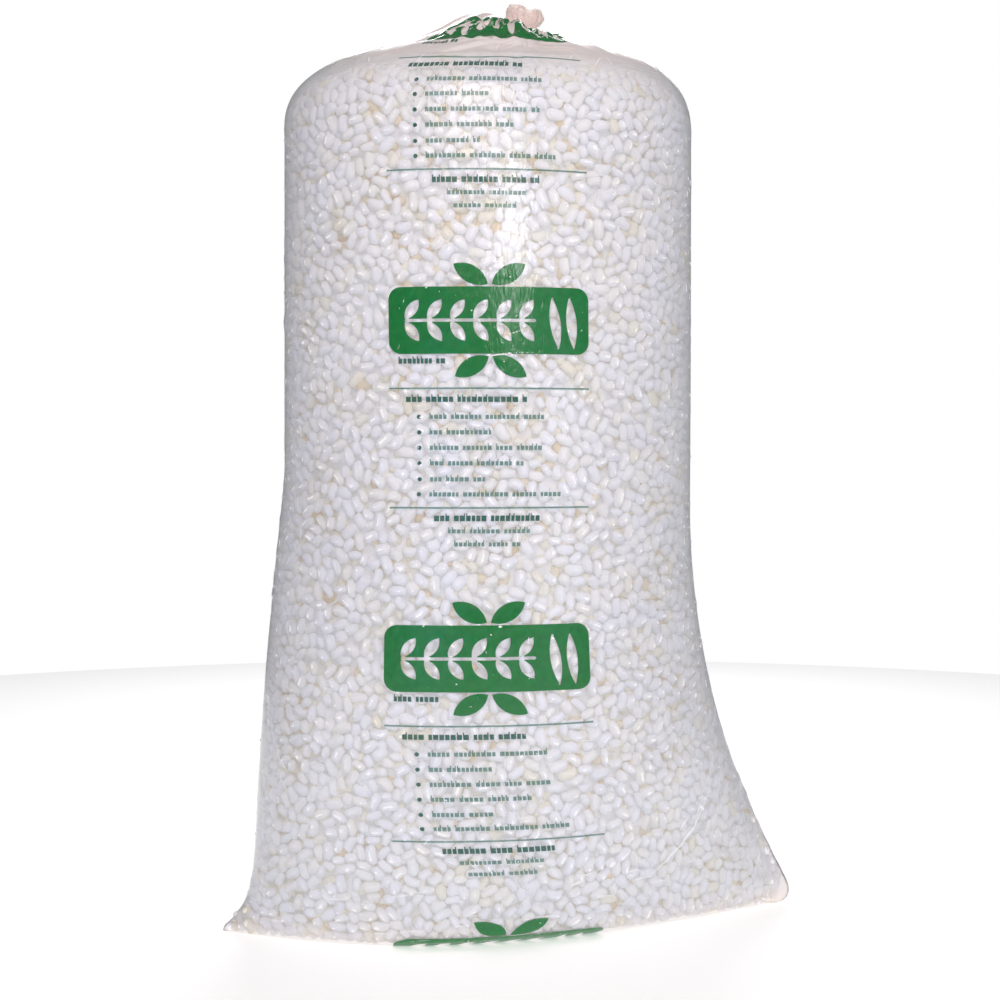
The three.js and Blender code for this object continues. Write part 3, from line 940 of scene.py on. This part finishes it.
clear_film, tree = new_material("clear blown polyethylene film")
clear_film.cycles.emission_sampling = "NONE"
creases = crinkle(tree)
layers_deep = add_node(tree, "ShaderNodeAttribute", {"attribute_name": "gathered"})
milk_share = add_node(tree, "ShaderNodeMapRange", Value=layers_deep.outputs["Fac"],
                      To_Min=MILK_SINGLE, To_Max=MILK_GATHERED)
milk_colour = add_node(tree, "ShaderNodeMixRGB", Fac=layers_deep.outputs["Fac"],
                       Color1=linear("#F1F3F8"), Color2=linear("#FBEBE6"))
where = add_node(tree, "ShaderNodeTexCoord")
height = add_node(tree, "ShaderNodeSeparateXYZ", Vector=where.outputs["Object"])
# The milky colour turns a warm cream towards the floor.
warm_band = add_node(tree, "ShaderNodeMapRange", Value=height.outputs["Z"], From_Min=0.0,
                From_Max=WARM_BAND_TOP, To_Min=WARM_BAND_MOST, To_Max=0.0)
warm_banded = add_node(tree, "ShaderNodeMixRGB", Fac=warm_band.outputs[0], Color1=milk_colour.outputs[0],
                  Color2=linear("#F1D3B8"))
gloss_share = add_node(tree, "ShaderNodeFresnel", IOR=1.52)
through = add_node(tree, "ShaderNodeBsdfTransparent", Color=linear("#FBFCFE"))
thrown_back = add_node(tree, "ShaderNodeBsdfDiffuse", Color=warm_banded.outputs[0])
let_through = add_node(tree, "ShaderNodeBsdfTranslucent", Color=warm_banded.outputs[0])
scattered = mixed_shader(tree, MILK_ONWARDS, thrown_back.outputs[0], let_through.outputs[0])
inner_light = add_node(tree, "ShaderNodeMapRange", Value=layers_deep.outputs["Fac"],
                       To_Min=0.0, To_Max=GATHER_GLOW)
glow = add_node(tree, "ShaderNodeEmission", Color=linear("#FBE9E2"),
                Strength=inner_light.outputs[0])
milk = add_node(tree, "ShaderNodeAddShader")
tree.links.new(scattered, milk.inputs[0])
tree.links.new(glow.outputs[0], milk.inputs[1])
body = mixed_shader(tree, milk_share.outputs[0], through.outputs[0], milk.outputs[0])
dulled = add_node(tree, "ShaderNodeMapRange", Value=layers_deep.outputs["Fac"],
                  To_Min=ROUGHNESS_SINGLE, To_Max=ROUGHNESS_GATHERED)
shine = add_node(tree, "ShaderNodeBsdfGlossy", Color=linear("#FFFFFF"),
                 Roughness=dulled.outputs[0], Normal=creases)
film_shader = mixed_shader(tree, gloss_share.outputs[0], body, shine.outputs[0])
slant = add_node(tree, "ShaderNodeLayerWeight", Blend=0.5)
darker = add_node(tree, "ShaderNodeMixRGB", Fac=slant.outputs["Facing"],
                  Color1=linear("#DEDFE3"), Color2=linear("#8C8F9C"))
shade = add_node(tree, "ShaderNodeMixRGB", Fac=layers_deep.outputs["Fac"],
                 Color1=darker.outputs[0], Color2=linear("#B4B2B1"))
shadow = add_node(tree, "ShaderNodeBsdfTransparent", Color=shade.outputs[0])
ray = add_node(tree, "ShaderNodeLightPath")
finish_material(tree, mixed_shader(tree, ray.outputs["Is Shadow Ray"], film_shader,
                                   shadow.outputs[0]))
film_data.materials.append(clear_film)
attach(film, "root")
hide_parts("bag_film")

# %% [markdown]
# ## The print
# One design in green ink repeats about every half metre up the front: a rounded panel with
# pale shapes left out of it, two leaves above it and two below, then a rule, a block of small
# lines with dots before them, a second rule, and three short centred lines. No words are printed
# here. The panel shows a leafy twig, and a line of text becomes a row of small blocks.
# Every shape is drawn flat in metres on the film, and then laid on it like a transfer.

# %% Laying flat shapes on the film
PANEL_HEIGHTS = (1.5655, 1.0415, 0.5175, -0.0065)
PRINT_MIDDLE = -0.042
PRINT_LEAN = 0.0105  # how far the column of print leans to the left on its way up
PRINT_LEAN_FROM, PRINT_LEAN_TO, PRINT_LEAN_MOST = 0.60, 1.25, 1.2
PRINT_STRETCH = 1.035  # the print is this much wider than the drawing of it
INK_LIFT = 0.0009
final_outward = net_normals(final_net)


def on_film(u, v, lift):
    """The place on the wrinkled film at a distance along it and up it, lifted off by a little."""
    column = (u / FLAT_WIDTH + 0.5) * (COLUMNS // 2)
    row = np.interp(v, film_up, np.arange(len(film_up)))
    c, r = int(column), min(int(row), len(film_up) - 2)
    fc, fr = column - c, row - r

    def mixed(grid):
        return ((grid[r, c] * (1 - fc) + grid[r, c + 1] * fc) * (1 - fr)
                + (grid[r + 1, c] * (1 - fc) + grid[r + 1, c + 1] * fc) * fr)
    return mixed(final_net) + mixed(final_outward) * lift


def lay_on_film(name, flat, material):
    """Turns a flat drawing into a thin layer on the film. Its flat places become coordinates."""
    layer = flat.loops.layers.uv.new("along_film")
    for face in flat.faces:
        face.smooth = True
        for loop in face.loops:
            loop[layer].uv = loop.vert.co.xy
    for vert in flat.verts:
        vert.co = on_film(vert.co.x, vert.co.y, INK_LIFT)
    mesh = bpy.data.meshes.new(name)
    flat.to_mesh(mesh)
    flat.free()
    piece = bpy.data.objects.new(name, mesh)
    bpy.context.scene.collection.objects.link(piece)
    mesh.materials.append(material)
    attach(piece, "root")
    print(name, sum(len(p.vertices) - 2 for p in mesh.polygons), "triangles")


def rectangle(flat, u, v, width, height, piece_size=0.004):
    """A flat rectangle, in squares small enough to follow the film."""
    across = max(1, math.ceil(width / piece_size))
    up = max(1, math.ceil(height / piece_size))
    place = Matrix.Translation((u, v, 0)) @ Matrix.Diagonal((width / 2, height / 2, 1, 1))
    bmesh.ops.create_grid(flat, x_segments=across, y_segments=up, size=1.0, matrix=place)


# %% [markdown]
# Shapes with curved edges are cut from a fine grid. A rule tells how far a place is outside the
# shape, below nought inside it. Points near the edge slide onto it, and what is outside goes.

# %% Cutting out curved shapes
def cut_shape(flat, outside, low, high, cell):
    count = [math.ceil((b - a) / cell) for a, b in zip(low, high)]
    half = [(b - a) / 2 for a, b in zip(low, high)]
    place = (Matrix.Translation((low[0] + half[0], low[1] + half[1], 0))
             @ Matrix.Diagonal((half[0], half[1], 1, 1)))
    made = bmesh.ops.create_grid(flat, x_segments=count[0], y_segments=count[1], size=1.0,
                                 matrix=place)["verts"]
    for v in made:
        far = outside(v.co.x, v.co.y)
        if abs(far) < cell * 0.72:
            tiny = cell * 0.05
            slope = Vector((outside(v.co.x + tiny, v.co.y) - far,
                            outside(v.co.x, v.co.y + tiny) - far)) / tiny
            v.co.xy -= slope * far / max(slope.length_squared, 0.25)
    faces = {f for v in made for f in v.link_faces}
    gone = [f for f in faces if outside(*f.calc_center_median().xy) > 0]
    bmesh.ops.delete(flat, geom=gone, context="FACES")


def rounded_panel(u, v, width, height, corner):
    def outside(x, y):
        dx = abs(x - u) - width / 2 + corner
        dy = abs(y - v) - height / 2 + corner
        return math.hypot(max(dx, 0), max(dy, 0)) + min(max(dx, dy), 0) - corner
    return outside


def capsule(u, v, length, thick, turn):
    """A straight line with rounded ends."""
    along = Vector((math.cos(turn), math.sin(turn)))

    def outside(x, y):
        away = Vector((x - u, y - v))
        s = max(-length / 2, min(length / 2, away.dot(along)))
        return (away - along * s).length - thick / 2
    return outside


def leaf(u, v, length, width, turn):
    """The overlap of two equal circles, from a tip at the given place."""
    along = Vector((math.cos(turn), math.sin(turn)))
    radius = (length ** 2 + width ** 2) / (4 * width)
    centre = Vector((u, v)) + along * length / 2
    aside = Vector((-along.y, along.x)) * (radius - width / 2)

    def outside(x, y):
        p = Vector((x, y))
        return max((p - centre - aside).length, (p - centre + aside).length) - radius
    return outside


def lay_print(name, flat, ink_material):
    """Shifts a drawing to the column of print, which leans a little, and lays it on the film."""
    for vert in flat.verts:
        lean = (vert.co.y - PRINT_LEAN_FROM) / (PRINT_LEAN_TO - PRINT_LEAN_FROM)
        lean = min(max(lean, 0), PRINT_LEAN_MOST)
        vert.co.x = vert.co.x * PRINT_STRETCH + PRINT_MIDDLE - PRINT_LEAN * lean
    lay_on_film(name, flat, ink_material)


# %% [markdown]
# Flexographic ink is a thin even coat, so the film's gloss and creases show on it too. It isn't
# quite opaque: a little of what is behind it comes through, most of all in the thin rules.
# Slight patches of it are a lighter green.

# %% The inks
def ink(name, colour, thin_share):
    """Ink on film, in two close greens. The thin share is how much shows through it."""
    material, tree = new_material(name)
    creases = crinkle(tree)
    along = add_node(tree, "ShaderNodeUVMap", {"uv_map": "along_film"})
    patchy = add_node(tree, "ShaderNodeTexNoise", {"noise_dimensions": "2D"},
                      Vector=along.outputs[0], Scale=90.0, Detail=2.0)
    lighter = add_node(tree, "ShaderNodeMixRGB", Fac=patchy.outputs[0], Color1=linear(colour[0]),
                       Color2=linear(colour[1]))
    solid = add_node(tree, "ShaderNodeBsdfPrincipled", Base_Color=lighter.outputs[0],
                     Roughness=0.22, IOR=1.5, Normal=creases)
    clear = add_node(tree, "ShaderNodeBsdfTransparent", Color=linear("#FFFFFF"))
    finish_material(tree, mixed_shader(tree, thin_share, solid.outputs[0], clear.outputs[0]))
    return material


green_ink = ink("deep green flexographic ink", ("#006A2C", "#008038"), 0.04)
text_ink = ink("dark green flexographic ink", ("#0A5446", "#126355"), 0.12)
rule_ink = ink("thin grey-green ink", ("#237264", "#347F71"), 0.30)

# %% The panels and their leaves
PANEL_WIDTH, PANEL_TALL, PANEL_CORNER, PANEL_CELL = 0.312, 0.104, 0.020, 0.0026
STEM = (-0.030, 0.0, 0.196, 0.0050, 0.0)
TWIG_LEAVES = [(u, side * 0.002, 0.037, 0.0165, side * 0.95)
               for u in (-0.130, -0.095, -0.060, -0.025, 0.010, 0.045) for side in (1, -1)]
LEAVES_IN_PANEL = ((0.106, -0.044, 0.082, 0.017, 1.70), (0.131, -0.044, 0.082, 0.017, 1.66))
SPRIG = ((-0.003, 0.056, 0.060, 0.027, 2.60), (0.003, 0.056, 0.060, 0.027, 0.54),
         (-0.003, -0.056, 0.060, 0.027, -2.60), (0.003, -0.056, 0.060, 0.027, -0.54))

CROWN_START = 1.40  # up the film; above this the sprigs are lost in the folds

panels = bmesh.new()
for height in PANEL_HEIGHTS:
    panel = rounded_panel(0, height, PANEL_WIDTH, PANEL_TALL, PANEL_CORNER)
    pale = [capsule(STEM[0], STEM[1] + height, *STEM[2:])]
    pale += [leaf(u, v + height, *rest) for u, v, *rest in (*TWIG_LEAVES, *LEAVES_IN_PANEL)]

    def left_out(x, y):
        return max(panel(x, y), max(-shape(x, y) for shape in pale))
    low = (-PANEL_WIDTH / 2 - 0.002, max(height - PANEL_TALL / 2 - 0.002, 0.001))
    cut_shape(panels, left_out, low, (PANEL_WIDTH / 2 + 0.002, height + PANEL_TALL / 2 + 0.002),
              PANEL_CELL)
    for u, v, length, width, turn in SPRIG if height < CROWN_START else ():
        shape = leaf(u, v + height, length, width, turn)
        tip = (u + length * math.cos(turn), v + height + length * math.sin(turn))
        low = (min(u, tip[0]) - width / 2, max(min(v + height, tip[1]) - width / 2, 0.001))
        high = (max(u, tip[0]) + width / 2, max(v + height, tip[1]) + width / 2)
        if high[1] > low[1] + 0.004:
            cut_shape(panels, shape, low, high, PANEL_CELL * 0.8)
lay_print("printed_panels", panels, green_ink)

# %% [markdown]
# A word of text at this size reads as a short dark band with an uneven edge: bodies of letters
# in a row, and here and there a stem that stands above them. So each letter is one small block,
# some with a stem, and the words get chance lengths. None of it can be read.

# %% The small lines
LETTER_GAP, WORD_GAP = 0.0016, 0.0052
STEM_WIDE, STEM_TALL = 0.0017, 0.0034


def word_line(flat, start, end, v, letter_tall, wide=1.0):
    u, left_in_word = start, int(dice.integers(3, 10))
    while u < end:
        width = dice.uniform(0.0038, 0.0066) * wide
        rectangle(flat, u + width / 2, v, width, letter_tall)
        if dice.random() < 0.36:
            side = u + STEM_WIDE / 2 if dice.random() < 0.6 else u + width - STEM_WIDE / 2
            rectangle(flat, side, v + letter_tall / 2 + STEM_TALL / 2, STEM_WIDE, STEM_TALL)
        u += width + LETTER_GAP
        left_in_word -= 1
        if left_in_word == 0:
            u += WORD_GAP
            left_in_word = int(dice.integers(4, 12))


HEADINGS = (  # how far below the panel's middle, start, end, height of a letter, width
    (0.0630, -0.141, -0.073, 0.0078, 1.10), (0.1223, -0.130, 0.050, 0.0082, 1.30),
    (0.3065, -0.085, 0.076, 0.0086, 1.20))
SMALL_LINES = (
    (0.1494, -0.094, 0.078, 0.0066, 1.0), (0.1734, -0.094, -0.003, 0.0066, 1.0),
    (0.1974, -0.094, 0.079, 0.0066, 1.0), (0.2214, -0.094, 0.045, 0.0066, 1.0),
    (0.2461, -0.094, -0.014, 0.0066, 1.0), (0.2694, -0.094, 0.105, 0.0066, 1.0),
    (0.3266, -0.063, 0.056, 0.0062, 0.95), (0.3468, -0.053, 0.044, 0.0062, 0.95))
DOTTED = (0.1494, 0.1734, 0.1974, 0.2214, 0.2461, 0.2694)
RULES = (0.1053, 0.2903)
DOT_U, DOT_RADIUS = -0.110, 0.0034
RULE_WIDTH, RULE_TALL = 0.312, 0.0027

headings, small_print, rules = bmesh.new(), bmesh.new(), bmesh.new()
for height in PANEL_HEIGHTS[:3]:
    for below, *line in HEADINGS:
        word_line(headings, *line[:2], height - below, *line[2:])
    for below, *line in SMALL_LINES:
        word_line(small_print, *line[:2], height - below, *line[2:])
    for below in DOTTED:
        bmesh.ops.create_circle(headings, cap_ends=True, segments=12, radius=DOT_RADIUS,
                                matrix=Matrix.Translation((DOT_U, height - below, 0)))
    for below in RULES:
        rectangle(rules, 0, height - below, RULE_WIDTH, RULE_TALL)
lay_print("printed_headings", headings, text_ink)
lay_print("printed_lines", small_print, rule_ink)
lay_print("printed_rules", rules, rule_ink)

# %% [markdown]
# Where thin film has been folded hard, the fold catches the light as a hair-thin bright line.
# These glints are painted: white strips with a faint glow of their own. The longest run up from
# the middle of the base to the right, on the tight lines from that corner. Dozens of short ones
# slant across both sides, and a few lie here and there. They are drawn and laid like the print:
# narrow strips that taper to nothing at both ends.

# %% White fold lines: painted highlights
def fold_line(flat, start, end, width, bow=0.0):
    """A strip between two places on the film, widest in its middle, bowed to one side."""
    du, dv = end[0] - start[0], end[1] - start[1]
    length = math.hypot(du, dv)
    pieces = max(3, math.ceil(length / 0.004))
    made = bmesh.ops.create_grid(flat, x_segments=pieces, y_segments=1, size=1.0)["verts"]
    for v in made:
        along, side = (v.co.x + 1) / 2, v.co.y
        arch = math.sin(math.pi * along)
        off = side * width / 2 * arch ** 0.7 + bow * arch
        v.co = (start[0] + du * along - dv / length * off, start[1] + dv * along + du / length * off, 0)


# The fold lines are painted highlights: white strips that glow a little, in place of glints of the
# lamps.
FOLD_CLEARNESS = 0.35
painted_fold_highlight, tree = new_material("painted fold highlights")
fold_shader = add_node(tree, "ShaderNodeBsdfPrincipled", Base_Color=linear("#FFFFFF"),
                       Roughness=0.25, Normal=crinkle(tree), Emission_Color=linear("#FFFFFF"),
                       Emission_Strength=0.12)
clear = add_node(tree, "ShaderNodeBsdfTransparent", Color=linear("#FFFFFF"))
finish_material(tree, mixed_shader(tree, FOLD_CLEARNESS, fold_shader.outputs[0],
                                   clear.outputs[0]))

LONG_FOLDS = (  # from, to, width, bow
    ((0.185, 0.140), (0.365, 0.285), 0.0030, -0.010),
    ((0.300, 0.245), (0.400, 0.345), 0.0016, -0.006),
    ((0.262, 0.212), (0.284, 0.236), 0.0034, 0.0), ((0.305, 0.232), (0.322, 0.252), 0.0030, 0.0),
    ((0.322, 0.208), (0.336, 0.222), 0.0026, 0.0), ((-0.055, 0.985), (0.020, 0.992), 0.0030, 0.002),
    ((-0.02, 1.02), (0.0, 1.026), 0.0026, 0.0), ((0.05, 0.14), (0.075, 0.148), 0.0030, 0.0),
    ((0.43, 0.115), (0.45, 0.135), 0.0024, 0.0))
highlight_strips = bmesh.new()
for line in LONG_FOLDS:
    fold_line(highlight_strips, *line)
FOLD_FAMILIES = (  # how many, across, up, length, slope in degrees
    (95, (-0.475, -0.375), (0.25, 0.95), (0.010, 0.036), (-75, -40)),
    (80, (0.375, 0.475), (0.25, 0.95), (0.010, 0.036), (40, 75)),
    (60, (-0.44, 0.44), (0.02, 0.16), (0.012, 0.045), (-8, 14)),
    (110, (-0.46, 0.46), (0.16, 1.38), (0.006, 0.022), (-90, 90)),
    (60, (-0.40, 0.44), (1.36, 1.50), (0.010, 0.040), (40, 140)),
    (90, (0.50, 1.46), (0.05, 1.45), (0.010, 0.035), (-90, 90)))
for count, across, up, lengths, slopes in FOLD_FAMILIES:
    for _ in range(count):
        u, v = dice.uniform(*across), dice.uniform(*up)
        half, slope = dice.uniform(*lengths) / 2, math.radians(dice.uniform(*slopes))
        du, dv = half * math.cos(slope), half * math.sin(slope)
        fold_line(highlight_strips, (u - du, v - dv), (u + du, v + dv), dice.uniform(0.0008, 0.0018),
                  dice.uniform(-0.1, 0.1) * half)
lay_on_film("painted_fold_highlight_lines", highlight_strips, painted_fold_highlight)

# %% [markdown]
# ## The tie
# A common nylon cable tie closes the neck. It is moulded in natural nylon: slightly yellow, not
# quite clear, and smooth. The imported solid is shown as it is, with its own material.

# %% The tie
nylon, tree = new_material("moulded natural nylon")
where = add_node(tree, "ShaderNodeTexCoord")
mottle = add_node(tree, "ShaderNodeTexNoise", Vector=where.outputs["Object"], Scale=260.0,
                  Detail=2.0)
creamy = add_node(tree, "ShaderNodeMixRGB", Fac=mottle.outputs[0], Color1=linear("#EFECE0"),
                  Color2=linear("#DDD8C6"))
nylon_shader = add_node(tree, "ShaderNodeBsdfPrincipled", Base_Color=creamy.outputs[0],
                        Roughness=0.38, Subsurface_Weight=0.15)
finish_material(tree, nylon_shader.outputs[0])
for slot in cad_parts["neck_tie"].material_slots:
    slot.material = nylon
